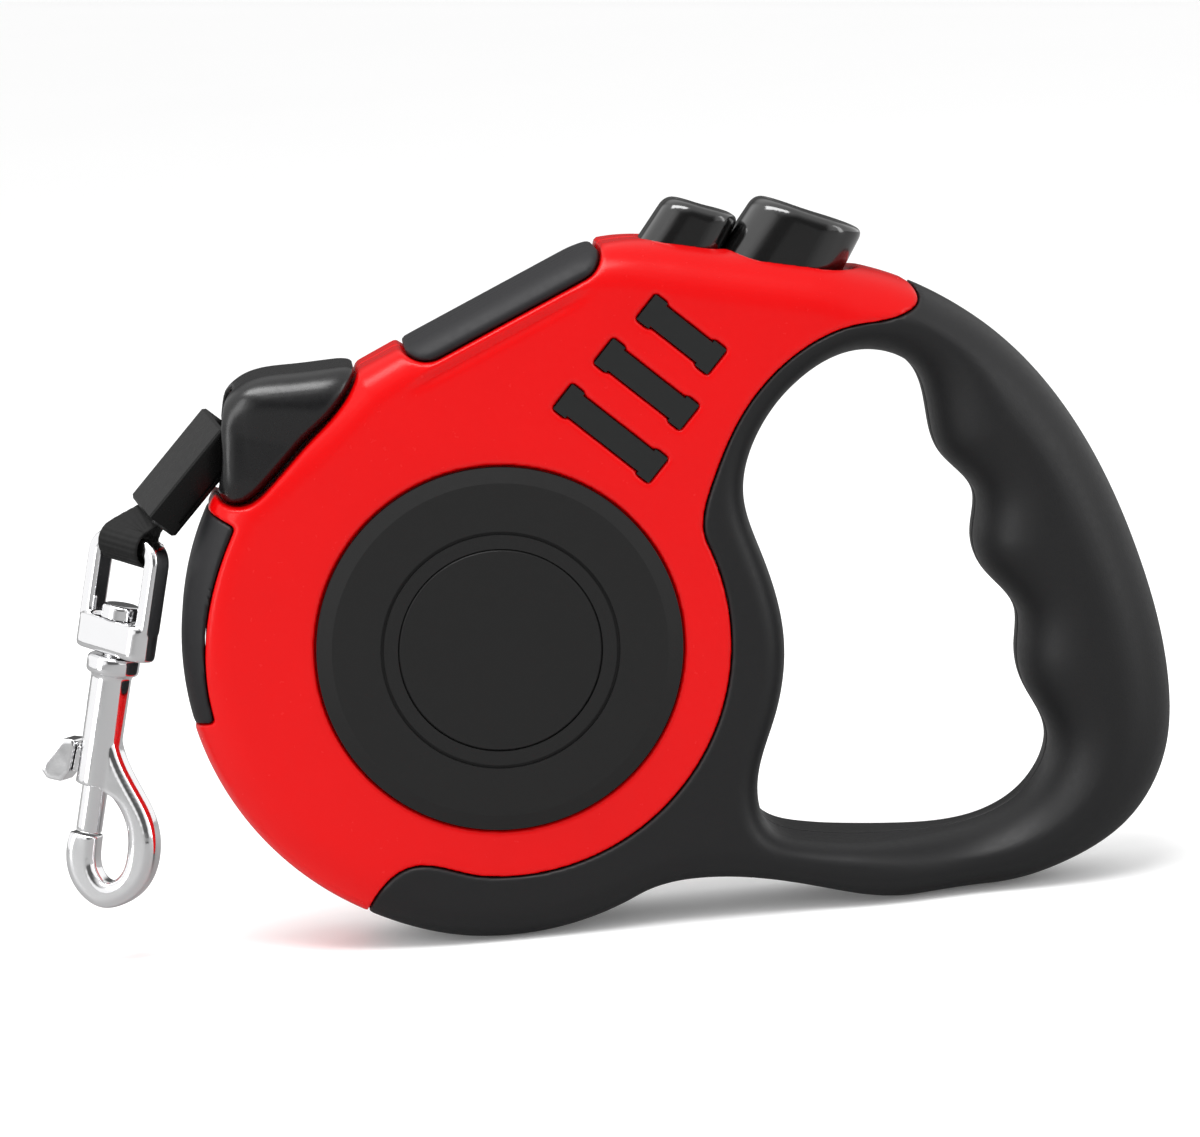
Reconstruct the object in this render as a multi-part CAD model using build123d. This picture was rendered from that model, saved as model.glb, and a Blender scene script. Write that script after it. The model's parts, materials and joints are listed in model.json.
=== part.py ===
from build123d import *
import os
from math import acos, asin, atan2, cos, degrees, hypot, radians, sin, sqrt

# Retractable dog leash with a tape, a brake button, a lock button and a swivel bolt snap.
# X runs from the tape outlet to the handle, Y from the left side to the right, Z up. Millimetres.
# The model is built about the foot of the drum axis, then moved to the middle of its own box.

# ---------------------------------------------------------------- driving dimensions
CASE_DEPTH = 28.0            # both case halves together, along Y
CASE_RADIUS = 53.0           # outer radius of the round case
CASE_OFFSET = 1.6            # the round case's centre lies this far in front of the drum axis
RIM_ROUND = 6.0              # rounding of the outer edges
FINGER_ROUND = 3.6           # rounding of the hand opening's edges
SIDE_WALL = 2.6              # thickness of the case's flat sides
DRUM_HEIGHT = 51.4           # drum axis above the floor
RED_RADIUS = 40.0            # the red case ends on this radius about the drum axis

DRUM_RADIUS = 43.5           # over the ratchet teeth
BAY_CLEARANCE = 2.0          # drum rim to the bay's wall
FLANGE = 1.4                 # thickness of a drum flange
HUB_RADIUS = 20.0
HUB_WALL = 1.8
PACK_RADIUS = 39.8           # wound tape, outside
TEETH = 24
TOOTH_DEPTH = 3.2
TOOTH_GAP = 7.0              # width of a notch between two teeth

TAPE_WIDTH = 9.5
TAPE_THICK = 0.8
AXLE_RADIUS = 3.0
ARBOR_RADIUS = 5.0
SPRING_STRIP = 0.6           # clock spring strip thickness
SPRING_TURNS = 7

CAP_RADIUS = 31.6            # round side cap
CAP_CHAMFER = 2.6            # sloped rim of the cap
CAP_PROUD = 1.2              # cap face over the case side
CAP_RECESS = 1.3             # depth of the cap's seat
BADGE_RADIUS = 17.6
RING_RADIUS = 20.6           # fine groove round the badge
RING_WIDTH = 0.6

BUTTON_LEAN = 35.0           # buttons lean from the vertical towards the handle
BRAKE_TRAVEL = 3.5
LOCK_TRAVEL = 3.0

SLEEVE_LENGTH = 20.1
SLEEVE_WIDTH = 12.0
SLEEVE_THICK = 6.2
SLEEVE_DROP = 46.0           # sleeve axis below the horizontal
SLEEVE_TWIST = 21.0

HOOK_LEAN = 13.5             # the hook hangs this far from plumb
EYE_TURN = 45.0              # the eye's bar is turned this far from the case's plane
HOOK_TURN = 22.0             # the hook body is turned this far
BOLT_TRAVEL = 6.5

# ---------------------------------------------------------------- fits and clearances
RUNNING = 0.05               # radial clearance of turning and sliding fits
SEAT = 0.1                   # round trim pieces in their seats
PLAY = 0.3                   # between free pieces that move past each other

HALF = CASE_DEPTH / 2
INNER = HALF - SIDE_WALL
BAY_RADIUS = DRUM_RADIUS + BAY_CLEARANCE
FAR = 400.0                  # larger than the whole object

os.makedirs("parts", exist_ok=True)
nodes = {}


# ---------------------------------------------------------------- helpers
def flat(*edges):
    """A face in the XZ plane from edges drawn as (x, z)."""
    return make_face([Plane.XZ * edge for edge in edges])


def prism(face, y_from, y_to):
    """The face, drawn in the XZ plane, run from y_from to y_to."""
    return Pos(0, y_to, 0) * extrude(face, y_to - y_from, dir=(0, -1, 0))


def turned(radius, y_from, y_to, x=0.0, z=DRUM_HEIGHT):
    """A cylinder along Y."""
    return Pos(x, (y_from + y_to) / 2, z) * Rot(90, 0, 0) * Cylinder(radius, y_to - y_from)


def ring(outer, inner, y_from, y_to, x=0.0, z=DRUM_HEIGHT):
    return turned(outer, y_from, y_to, x, z) - turned(inner, y_from, y_to, x, z)


def polar(radius, angle, centre=(0.0, DRUM_HEIGHT)):
    """Point (x, z) at an angle in degrees about a centre."""
    return (centre[0] + radius * cos(radians(angle)), centre[1] + radius * sin(radians(angle)))


def mirrored(shape):
    """The same shape on the other side of the mid plane."""
    return mirror(shape, about=Plane.XZ)


def solid_list(shape):
    return list(shape.solids())


# ---------------------------------------------------------------- outlines, as (x, z)
CASE_CENTRE = (-CASE_OFFSET, CASE_RADIUS)
NOSE_ANGLE = 146.0           # the round case ends here, under the nozzle
SKIRT_ANGLE = 295.0          # and here, where the handle's lower bar begins
nose_point = polar(CASE_RADIUS, NOSE_ANGLE, CASE_CENTRE)
foot_point = polar(CASE_RADIUS, 270.0, CASE_CENTRE)
skirt_point = polar(CASE_RADIUS, SKIRT_ANGLE, CASE_CENTRE)
top_front = (-20.5, 100.6)
strip_end = (17.0, 117.0)
hump = (29.0, 119.0)
tail_top = (74.5, 108.3)
sole_from = (70.0, 0.0)
sole_to = (83.0, 0.0)

skirt_heading = (cos(radians(SKIRT_ANGLE - 270)), sin(radians(SKIRT_ANGLE - 270)))
tail_heading = (-0.91, 0.41)


def outer_outline():
    """The whole outline: round case, handle and the sloping top."""
    return flat(
        ThreePointArc(nose_point, polar(CASE_RADIUS, 205, CASE_CENTRE), foot_point),
        ThreePointArc(foot_point, polar(CASE_RADIUS, 283, CASE_CENTRE), skirt_point),
        Spline(skirt_point, (34, 6.9), (50, 4.1), sole_from, tangents=(skirt_heading, (1, 0))),
        Line(sole_from, sole_to),
        Spline(sole_to, (97, 2.7), (109, 9.6), (116.3, 22), (117.4, 33), (113.4, 56.5), (104.6, 79),
               (91, 97.3), tail_top, tangents=((1, 0), tail_heading)),
        Spline(tail_top, (56, 113.6), (41, 116.9), hump, strip_end,
               tangents=(tail_heading, (-0.91, -0.41))),
        Line(strip_end, top_front),
        Line(top_front, nose_point),
    )


def hand_opening():
    """The hand opening: a plain arch on the case's side, finger grooves on the grip's side."""
    return flat(
        Spline((66, 96.6), (56, 93.2), (48.6, 85.8), (44.3, 73.5), (46.6, 63.5), (49.5, 48), (47, 34.5),
               (43, 22), (44.6, 15), (52, 11.7), (68, 10.2), (82, 11.5), (90.5, 15.6), (95.6, 25.8),
               (92.2, 34.3), (91.2, 41), (91.6, 48), (86.3, 55.6), (84.7, 62), (85.5, 69.5),
               (80.2, 76.6), (78.4, 84), (76.2, 92.4), periodic=True)
    )


def red_zone():
    """Everything on the case's side of the line where the red case meets the black grip."""
    low = polar(RED_RADIUS, -99)
    side = polar(RED_RADIUS, -38)
    high = polar(RED_RADIUS, 22)
    return flat(
        Line((-FAR, -FAR), (-26.6, -FAR)),
        Line((-26.6, -FAR), (-26.6, 5.0)),
        Spline((-26.6, 5.0), (-24, 11), (-18.5, 14.6), low, tangents=((0.2, 1), (0.98, -0.17))),
        ThreePointArc(low, side, high),
        Spline(high, (38.8, 77), (45, 88.5), (54, 97.2), (65, 101.7), (72.5, 102.4), (77, 105), (75.2, 109.2),
               tangents=((-0.37, 0.93), (-0.45, 1))),
        Line((75.2, 109.2), (75.2, FAR)),
        Line((75.2, FAR), (-FAR, FAR)),
        Line((-FAR, FAR), (-FAR, -FAR)),
    )


def nozzle_outline(grow=0.0):
    """The hood that the tape leaves by; grow makes the seat for it."""
    hood = flat(
        Spline((-20.3 + grow, 101.6), (-31, 101.3 + grow), (-40.4, 99.9 + grow), (-45.2 - grow, 93.5),
               tangents=((-1, 0.02), (-0.15, -1))),
        Spline((-45.2 - grow, 93.5), (-46.4 - grow, 86), (-45.4 - grow, 80.6 - grow), (-41.5, 79.6 - grow),
               (-37.2 + grow, 82.2 - grow), (-29.6 + grow, 89.6 - grow), (-22.6 + grow, 96.6 - grow),
               (-20.3 + grow, 101.6), tangents=((-0.15, -1), (0.1, 1))),
    )
    return hood


# ---------------------------------------------------------------- case and grip blanks
def blank():
    """One rounded block of the case with the handle and the hand opening, before it is split."""
    block = prism(outer_outline(), -HALF, HALF)
    rims = block.edges().filter_by(lambda e: abs(abs(e.center().Y) - HALF) < 0.01)
    block = fillet(rims, RIM_ROUND)
    hole = prism(hand_opening(), -HALF, HALF)
    before = block - hole
    sides = before.faces().sort_by(Axis.Y)
    edges = [e for side in (sides[0], sides[-1]) for w in side.inner_wires() for e in w.edges()]
    return fillet(edges, FINGER_ROUND)


def sector(inner, outer, from_angle, to_angle, centre):
    """A flat ring sector about a centre."""
    middle = (from_angle + to_angle) / 2
    return flat(
        ThreePointArc(polar(outer, from_angle, centre), polar(outer, middle, centre),
                      polar(outer, to_angle, centre)),
        Line(polar(outer, to_angle, centre), polar(inner, to_angle, centre)),
        ThreePointArc(polar(inner, to_angle, centre), polar(inner, middle, centre),
                      polar(inner, from_angle, centre)),
        Line(polar(inner, from_angle, centre), polar(outer, from_angle, centre)),
    )


def polygon(*points):
    """A flat face with straight sides."""
    return flat(*[Line(a, b) for a, b in zip(points, points[1:] + points[:1])])


def band(route, width):
    """A flat band of one width along a route of straight runs, mitred at its corners."""
    sides = []
    for i, (x, z) in enumerate(route):
        before, after = route[max(i - 1, 0)], route[min(i + 1, len(route) - 1)]
        into = Vector(x - before[0], z - before[1]).normalized() if i else None
        out = Vector(after[0] - x, after[1] - z).normalized() if i < len(route) - 1 else into
        into = into or out
        across = Vector(-into.Y - out.Y, into.X + out.X).normalized()
        reach = width / 2 / across.dot(Vector(-out.Y, out.X))
        sides.append((across.X * reach, across.Y * reach))
    left = [(x + a, z + b) for (x, z), (a, b) in zip(route, sides)]
    right = [(x - a, z - b) for (x, z), (a, b) in zip(route, sides)]
    return polygon(*left, *right[::-1])


# ---------------------------------------------------------------- trim on the case
BUMPER_DEPTH = 4.6
BUMPER_FROM = 151.0
BUMPER_TO = 192.0
REST_DEPTH = 4.2
rest_front = (-12.6, 104.1)
rest_back = (22.6, 118.0)

BAR_LEAN = -42.8             # the inlay bars slope down towards the handle
BAR_WIDTH = 5.3
BAR_WAIST = 4.3
BAR_END = 2.6                # length of each wide end
BAR_DEPTH = 1.4
BARS = [((35.2, 102.8), 15.4), ((28.6, 94.8), 18.7), ((21.8, 86.9), 20.8)]


def bumper_blank(whole):
    zone = sector(CASE_RADIUS - BUMPER_DEPTH, CASE_RADIUS + 5, BUMPER_FROM, BUMPER_TO, CASE_CENTRE)
    return whole & prism(zone, -HALF, HALF)


def thumb_rest_blank(whole):
    drop = REST_DEPTH
    (x, z), (back_x, back_z) = rest_front, rest_back
    zone = polygon((x - 0.6, z + 8), (x, z - 2), (x + 2.2, z - drop + 0.6),
                   (back_x - 7.0, back_z - drop - 1.6), (back_x - 1.8, back_z - drop + 0.8),
                   (back_x + 0.6, back_z - 1.2), (back_x + 1.4, back_z + 8))
    return whole & prism(zone, -HALF, HALF)


def inlay_bar(centre, length, y_from, y_to):
    """One I-shaped bar, wider at its two ends."""
    end = length / 2
    waist = end - BAR_END
    wide, slim = BAR_WIDTH / 2, BAR_WAIST / 2
    corners = [(-end, -wide), (-waist, -wide), (-waist, -slim), (waist, -slim), (waist, -wide), (end, -wide)]
    corners += [(-x, -z) for x, z in corners]
    turn = radians(BAR_LEAN)
    points = [(centre[0] + x * cos(turn) - z * sin(turn), centre[1] + x * sin(turn) + z * cos(turn))
              for x, z in corners]
    return prism(polygon(*points), y_from, y_to)


def inlays(y_from, y_to):
    return Compound([inlay_bar(c, length, y_from, y_to) for c, length in BARS])


# ---------------------------------------------------------------- buttons, in the leaning frame
# x across the buttons towards the handle, z along their travel, origin on the drum axis.
lean = Pos(0, 0, DRUM_HEIGHT) * Rot(0, BUTTON_LEAN, 0)
BRAKE_CENTRE = 9.5
BRAKE_LENGTH = 18.4
BRAKE_WIDTH = 16.0
BRAKE_TOP = (90.0, 93.2)     # heights of the head's low and high edge
BRAKE_FLANGE = 74.0          # top of the flange that stops the button under the lip
BRAKE_STEM = 2.6
BRAKE_CORNER = 6.5           # the head's corners, seen along its travel
BRAKE_DISH = 16.0            # radius of the hollow in the top
LOCK_CENTRE = -6.8
LOCK_LENGTH = 11.4
LOCK_WIDTH = 12.0
LOCK_TOP = (82.0, 84.5)
LOCK_FLANGE = 71.4
LOCK_STEM = 2.2
LOCK_CORNER = 3.6
LOCK_DISH = 11.0
REAR_GAP = 1.6               # extra room behind the brake button
FLANGE_THICK = 1.4
FLANGE_STEP = 1.2            # the flange stands out this far on the left and the right
SPRING_WIRE = 0.7
BRAKE_COIL = 3.7             # mean radius of the brake spring
LOCK_COIL = 3.1
BRAKE_SPRING = 11.6
LOCK_SPRING = 9.0
TIP_WIDTH = 4.6              # the brake's tip, which drops between two teeth
TIP_HEIGHT = 4.0
TIP_REACH = 6.8              # half its length along Y, over both drum flanges

tip_rest = sqrt(DRUM_RADIUS**2 - (BRAKE_CENTRE - TIP_WIDTH / 2) ** 2) + 2 * PLAY
TOOTH_ANGLE = 90.0 - BUTTON_LEAN - degrees(asin(BRAKE_CENTRE / DRUM_RADIUS))


def column(centre, length, width, z_from, z_to, corner):
    """An upright block with rounded corners, standing on the leaning frame."""
    block = Pos(centre, 0, (z_from + z_to) / 2) * Box(length, width, z_to - z_from)
    return fillet(block.edges().filter_by(Axis.Z), corner)


def button(centre, length, width, top, flange_top, stem, coil_base, corner, dish):
    """Head with a sloping dished top, a stop flange and a round stem."""
    low, high = top
    head = column(centre, length, width, flange_top, high + 5, corner)
    slope = degrees(atan2(high - low, length))
    middle = (low + high) / 2
    cutter = Pos(centre, 0, middle) * Rot(0, -slope, 0) * Pos(0, 0, 20) * Box(60, 60, 40)
    head -= cutter
    head = fillet(head.faces().sort_by(Axis.Z)[-1].edges(), 1.2)
    head -= Pos(centre, 0, middle) * Rot(0, -slope, 0) * Pos(0, 0, dish - 1.0) * Sphere(dish)
    flange = Box(length, width + 2 * FLANGE_STEP, FLANGE_THICK)
    flange = Pos(centre, 0, flange_top - FLANGE_THICK / 2) * flange
    flange = fillet(flange.edges().filter_by(Axis.Z), 1.0)
    rod_top = flange_top - FLANGE_THICK
    rod = Pos(centre, 0, (rod_top + coil_base) / 2) * Cylinder(stem, rod_top - coil_base)
    return head + flange + rod


def brake_button():
    """The button, its rod and the tip that stops the drum, in one moulding."""
    rod_foot = tip_rest + TIP_HEIGHT
    body = button(BRAKE_CENTRE, BRAKE_LENGTH, BRAKE_WIDTH, BRAKE_TOP, BRAKE_FLANGE, BRAKE_STEM, rod_foot,
                  BRAKE_CORNER, BRAKE_DISH)
    tip = Pos(BRAKE_CENTRE, 0, tip_rest + TIP_HEIGHT / 2) * Box(TIP_WIDTH, 2 * TIP_REACH, TIP_HEIGHT)
    return lean * (body + fillet(tip.edges().filter_by(Axis.Y).sort_by(Axis.Z)[:2], 0.8))


def lock_button():
    rod_foot = LOCK_FLANGE - FLANGE_THICK - LOCK_SPRING + PLAY
    return lean * button(LOCK_CENTRE, LOCK_LENGTH, LOCK_WIDTH, LOCK_TOP, LOCK_FLANGE, LOCK_STEM, rod_foot,
                         LOCK_CORNER, LOCK_DISH)


def coil(radius, wire, length, turns):
    """A compression spring that stands on z = 0."""
    path = Helix(pitch=(length - 2 * wire) / turns, height=length - 2 * wire, radius=radius)
    start = Plane(origin=path @ 0, z_dir=path % 0)
    return Pos(0, 0, wire) * sweep(start * Circle(wire), path=path)


def button_springs():
    brake_foot = BRAKE_FLANGE - FLANGE_THICK - BRAKE_SPRING
    lock_foot = LOCK_FLANGE - FLANGE_THICK - LOCK_SPRING
    half_wire = SPRING_WIRE / 2
    brake = lean * Pos(BRAKE_CENTRE, 0, brake_foot) * coil(BRAKE_COIL, half_wire, BRAKE_SPRING, 6)
    lock = lean * Pos(LOCK_CENTRE, 0, lock_foot) * coil(LOCK_COIL, half_wire, LOCK_SPRING, 5)
    return brake, lock


def button_bay():
    """The room in the case for both buttons, their flanges, rods and springs."""
    gap = 2 * PLAY
    far = 120
    brake_low = BRAKE_FLANGE - FLANGE_THICK - BRAKE_TRAVEL - 0.2
    lock_low = LOCK_FLANGE - FLANGE_THICK - LOCK_TRAVEL - 0.2
    brake_foot = BRAKE_FLANGE - FLANGE_THICK - BRAKE_SPRING
    lock_foot = LOCK_FLANGE - FLANGE_THICK - LOCK_SPRING

    def room(centre, length, width, z_from, z_to):
        return Pos(centre, 0, (z_from + z_to) / 2) * Box(length + 2 * gap, width + 2 * PLAY, z_to - z_from)

    def well(centre, radius, z_from, z_to):
        return Pos(centre, 0, (z_from + z_to) / 2) * Cylinder(radius, z_to - z_from)

    bay = room(BRAKE_CENTRE, BRAKE_LENGTH, BRAKE_WIDTH + 2 * FLANGE_STEP, brake_low, BRAKE_FLANGE + PLAY)
    bay += column(BRAKE_CENTRE + REAR_GAP / 2, BRAKE_LENGTH + 2 * gap + REAR_GAP, BRAKE_WIDTH + 2 * PLAY,
                  brake_low, far, BRAKE_CORNER)
    bay += room(LOCK_CENTRE, LOCK_LENGTH, LOCK_WIDTH + 2 * FLANGE_STEP, lock_low, LOCK_FLANGE + PLAY)
    bay += column(LOCK_CENTRE, LOCK_LENGTH + 2 * gap, LOCK_WIDTH + 2 * PLAY, lock_low, far, LOCK_CORNER)
    bay += Pos((BRAKE_CENTRE + LOCK_CENTRE) / 2, 0, (LOCK_FLANGE + far) / 2) * Box(8, 9, far - LOCK_FLANGE)
    bay += well(BRAKE_CENTRE, BRAKE_COIL + SPRING_WIRE + PLAY, brake_foot, brake_low + 1)
    bay += well(LOCK_CENTRE, LOCK_COIL + SPRING_WIRE + PLAY, lock_foot, lock_low + 1)
    bay += well(BRAKE_CENTRE, BRAKE_STEM + 3 * RUNNING, tip_rest, brake_foot + 1)
    bay += well(LOCK_CENTRE, LOCK_STEM + 3 * RUNNING, lock_foot - LOCK_TRAVEL, lock_foot + 1)
    slot_top = tip_rest + TIP_HEIGHT + PLAY
    slot_low = DRUM_RADIUS - 8
    bay += Pos(BRAKE_CENTRE, 0, (slot_low + slot_top) / 2) * Box(
        TIP_WIDTH + 2 * PLAY, 2 * (TIP_REACH + PLAY), slot_top - slot_low)
    return lean * bay


# ---------------------------------------------------------------- tape outlet
NOZZLE_HALF = 13.4
NOZZLE_LENGTH = 28.0
NOSE_X = -46.6               # foremost point of the hood
NOSE_ROUND = 8.5             # rounding of its two front corners, seen from above
MOUTH_LOW, MOUTH_HIGH = 82.2, 98.4
MOUTH_BACK = -38.4
MOUTH_HALF = 7.6
MOUTH_ROUND = 4.6
CHANNEL_LOW, CHANNEL_HIGH = 88.4, 96.6
CHANNEL_HALF = 5.6
PIN_LOWER = (-35.0, 90.0)
PIN_LOWER_RADIUS = 2.4
PIN_UPPER = (-35.0, 96.4)
PIN_UPPER_RADIUS = 1.6
PIN_HALF = 9.0


def channel():
    """The passage of the tape from the drum's bay to the mouth."""
    back = 6.0
    length = back - MOUTH_BACK + 1
    return Pos(back - length / 2, 0, (CHANNEL_LOW + CHANNEL_HIGH) / 2) * Box(
        length, 2 * CHANNEL_HALF, CHANNEL_HIGH - CHANNEL_LOW)


def guide_pins():
    return Compound([turned(PIN_LOWER_RADIUS, -PIN_HALF, PIN_HALF, *PIN_LOWER),
                     turned(PIN_UPPER_RADIUS, -PIN_HALF, PIN_HALF, *PIN_UPPER)])


def nozzle():
    hood = prism(nozzle_outline(), -NOZZLE_HALF, NOZZLE_HALF)
    plan = Pos(NOSE_X + NOZZLE_LENGTH / 2, 0, DRUM_HEIGHT) * Box(NOZZLE_LENGTH, 2 * NOZZLE_HALF, 2 * FAR)
    hood &= fillet(plan.edges().filter_by(Axis.Z).sort_by(Axis.X)[:2], NOSE_ROUND)
    depth = 20
    mouth = Pos(MOUTH_BACK - depth / 2, 0, (MOUTH_LOW + MOUTH_HIGH) / 2) * Box(
        depth, 2 * MOUTH_HALF, MOUTH_HIGH - MOUTH_LOW)
    mouth = fillet(mouth.edges().filter_by(Axis.X), MOUTH_ROUND)
    return hood - mouth - channel() - guide_pins()


# ---------------------------------------------------------------- screws
SCREWS = [(70.6, 105.8), (3.0, 103.6), (-40.6, 24.2), (92.5, 92.0), (103.6, 47.0), (62.0, 5.5)]
HEAD_RADIUS = 2.2
HEAD_THICK = 1.6
SHANK_RADIUS = 1.2
HEAD_SEAT = HALF - 3.0
SHANK_END = -7.0


def screw(x, z):
    head = turned(HEAD_RADIUS, HEAD_SEAT, HEAD_SEAT + HEAD_THICK, x, z)
    for turn in (0, 90):
        head -= Pos(x, HEAD_SEAT + HEAD_THICK, z) * Rot(0, turn, 0) * Box(2.6, 1.6, 0.6)
    return head + turned(SHANK_RADIUS, SHANK_END, HEAD_SEAT, x, z)


def screw_holes():
    holes = []
    for x, z in SCREWS:
        holes.append(turned(HEAD_RADIUS + SEAT, HEAD_SEAT, HALF, x, z))
        holes.append(turned(SHANK_RADIUS, SHANK_END, HEAD_SEAT, x, z))
    return holes


# ---------------------------------------------------------------- case halves and handle halves
BOSS_RADIUS = 9.0
BOSS_FACE = 8.3
HANDLE_ROUTE = [(84.5, 95.0), (91.4, 86), (98, 69), (103, 48), (104.5, 27), (97, 11.5), (82, 6), (56, 7.2)]
HANDLE_HOLLOW = 6.4
HANDLE_HOLLOW_HALF = 8.5


def bay():
    """The round room for the drum, with a boss on each side for the axle."""
    room = turned(BAY_RADIUS, -INNER, INNER)
    for side in (-1, 1):
        ends = sorted((side * BOSS_FACE, side * INNER))
        room -= ring(BOSS_RADIUS, AXLE_RADIUS, ends[0], ends[1])
    return room


def handle_hollow():
    hollow = prism(band(HANDLE_ROUTE, HANDLE_HOLLOW), -HANDLE_HOLLOW_HALF, HANDLE_HOLLOW_HALF)
    for x, z in SCREWS:
        hollow -= turned(HEAD_RADIUS + 1.6, -HALF, HALF, x, z)
    return hollow


def half(shape, side):
    """The left (-1) or the right (1) half of a piece."""
    return shape & (Pos(0, side * FAR / 2, 0) * Box(FAR * 2, FAR, FAR * 2))


def build_case():
    whole = blank()
    zone = prism(red_zone(), -HALF, HALF)
    bumper = bumper_blank(whole)
    rest = thumb_rest_blank(whole)
    red = (whole & zone) - bumper - rest - prism(nozzle_outline(SEAT), -HALF, HALF)
    grip = whole - zone
    room = bay()
    red -= room
    red -= channel()
    red -= button_bay()
    for side in (-1, 1):
        ends = sorted((side * (HALF - CAP_RECESS), side * (HALF + 1)))
        red -= turned(CAP_RADIUS, *ends)
        ends = sorted((side * (HALF - BAR_DEPTH), side * (HALF + 1)))
        red -= inlays(*ends)
    grip -= room
    grip -= button_bay()
    grip -= handle_hollow()
    for hole in screw_holes():
        red -= hole
        grip -= hole
    for name, shape in (("shell", red), ("grip", grip)):
        for word, side in (("left", -1), ("right", 1)):
            nodes[f"{word}_{name}"] = half(shape, side)
    nodes["front_bumper"] = bumper - room
    nodes["thumb_rest"] = rest
    for word, side in (("left", -1), ("right", 1)):
        ends = sorted((side * (HALF - BAR_DEPTH), side * HALF))
        nodes[f"{word}_inlays"] = inlays(*ends)


# ---------------------------------------------------------------- side caps
BADGE_SEAT = 1.0
CAP_SLOPE = 0.8


def side_cap():
    """The left cap: a disc with a sloped rim, a fine groove and a seat for its badge."""
    face = -(HALF + CAP_PROUD)
    back = -(HALF - CAP_RECESS)
    cap = turned(CAP_RADIUS - SEAT, face, back)
    rim = cap.faces().sort_by(Axis.Y)[0].edges()
    cap = chamfer(rim, CAP_SLOPE, CAP_CHAMFER)
    cap -= ring(RING_RADIUS, RING_RADIUS - RING_WIDTH, face, face + 0.5)
    return cap - turned(BADGE_RADIUS, face, face + BADGE_SEAT)


def badge():
    face = -(HALF + CAP_PROUD)
    plate = turned(BADGE_RADIUS - SEAT, face, face + BADGE_SEAT)
    return chamfer(plate.faces().sort_by(Axis.Y)[0].edges(), 0.3)


# ---------------------------------------------------------------- drum and its spring
DRUM_HALF = TAPE_WIDTH / 2 + 0.4
DRUM_FACE = DRUM_HALF + FLANGE
COVER_RADIUS = HUB_RADIUS - HUB_WALL


def drum():
    """Hub, two flanges and the notches that the brake's tip drops into."""
    reel = turned(HUB_RADIUS, -DRUM_FACE, DRUM_FACE) - turned(COVER_RADIUS, -DRUM_HALF, DRUM_FACE)
    reel += ring(DRUM_RADIUS, HUB_RADIUS - HUB_WALL / 2, -DRUM_FACE, -DRUM_HALF)
    reel += ring(DRUM_RADIUS, HUB_RADIUS - HUB_WALL / 2, DRUM_HALF, DRUM_FACE)
    reel -= turned(ARBOR_RADIUS + RUNNING, -DRUM_FACE, DRUM_FACE)
    notch = Pos(DRUM_RADIUS - TOOTH_DEPTH + 5, 0, 0) * Box(10, 2 * DRUM_FACE, TOOTH_GAP)
    for tooth in range(TEETH):
        turn = -(TOOTH_ANGLE + 360 * tooth / TEETH)
        reel -= Pos(0, 0, DRUM_HEIGHT) * Rot(0, turn, 0) * notch
    return reel


def spring_cover():
    cover = turned(COVER_RADIUS, DRUM_HALF, DRUM_FACE)
    return cover - turned(ARBOR_RADIUS + RUNNING, DRUM_HALF, DRUM_FACE)


def clock_spring():
    """A flat strip wound from the arbor out to the hub."""
    inner = ARBOR_RADIUS + SPRING_STRIP / 2
    outer = COVER_RADIUS - SPRING_STRIP / 2
    steps = 12 * SPRING_TURNS

    def side(offset):
        points = []
        for i in range(steps + 1):
            share = i / steps
            points.append(polar(inner + (outer - inner) * share + offset, 360 * SPRING_TURNS * share))
        return points

    low, high = side(-SPRING_STRIP / 2), side(SPRING_STRIP / 2)
    strip = flat(Spline(*low), Line(low[-1], high[-1]), Spline(*high[::-1]), Line(high[0], low[0]))
    return prism(strip, -DRUM_HALF + PLAY, DRUM_HALF - PLAY)


# ---------------------------------------------------------------- tape
def tape_run(sleeve_top, along):
    """The tape from the wound pack over the lower pin to the sleeve."""
    pin_x, pin_z = PIN_LOWER
    level = pin_z + PIN_LOWER_RADIUS + TAPE_THICK / 2 + SEAT
    reach = PACK_RADIUS + PLAY + TAPE_THICK / 2
    away = hypot(pin_x, level - DRUM_HEIGHT)
    angle = degrees(atan2(level - DRUM_HEIGHT, pin_x)) - degrees(acos(reach / away))
    leave = polar(reach, angle)
    end = (sleeve_top[0] + 0.05 * along[0], sleeve_top[1] + 0.05 * along[1])
    bend = (end[0] + (level - end[1]) * along[0] / along[1], level)
    return prism(band([leave, (pin_x, level), bend, end], TAPE_THICK), -TAPE_WIDTH / 2, TAPE_WIDTH / 2)


SLEEVE_FOOT = (-57.5, 77.6)
NECK_POCKET = 3.0


def sleeve_plane():
    drop, twist = radians(SLEEVE_DROP), radians(SLEEVE_TWIST)
    along = Vector(cos(drop), 0, sin(drop))
    wide = Vector(sin(drop) * sin(twist), -cos(twist), -cos(drop) * sin(twist))
    return Plane(origin=(SLEEVE_FOOT[0], 0, SLEEVE_FOOT[1]), x_dir=wide, z_dir=along)


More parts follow.
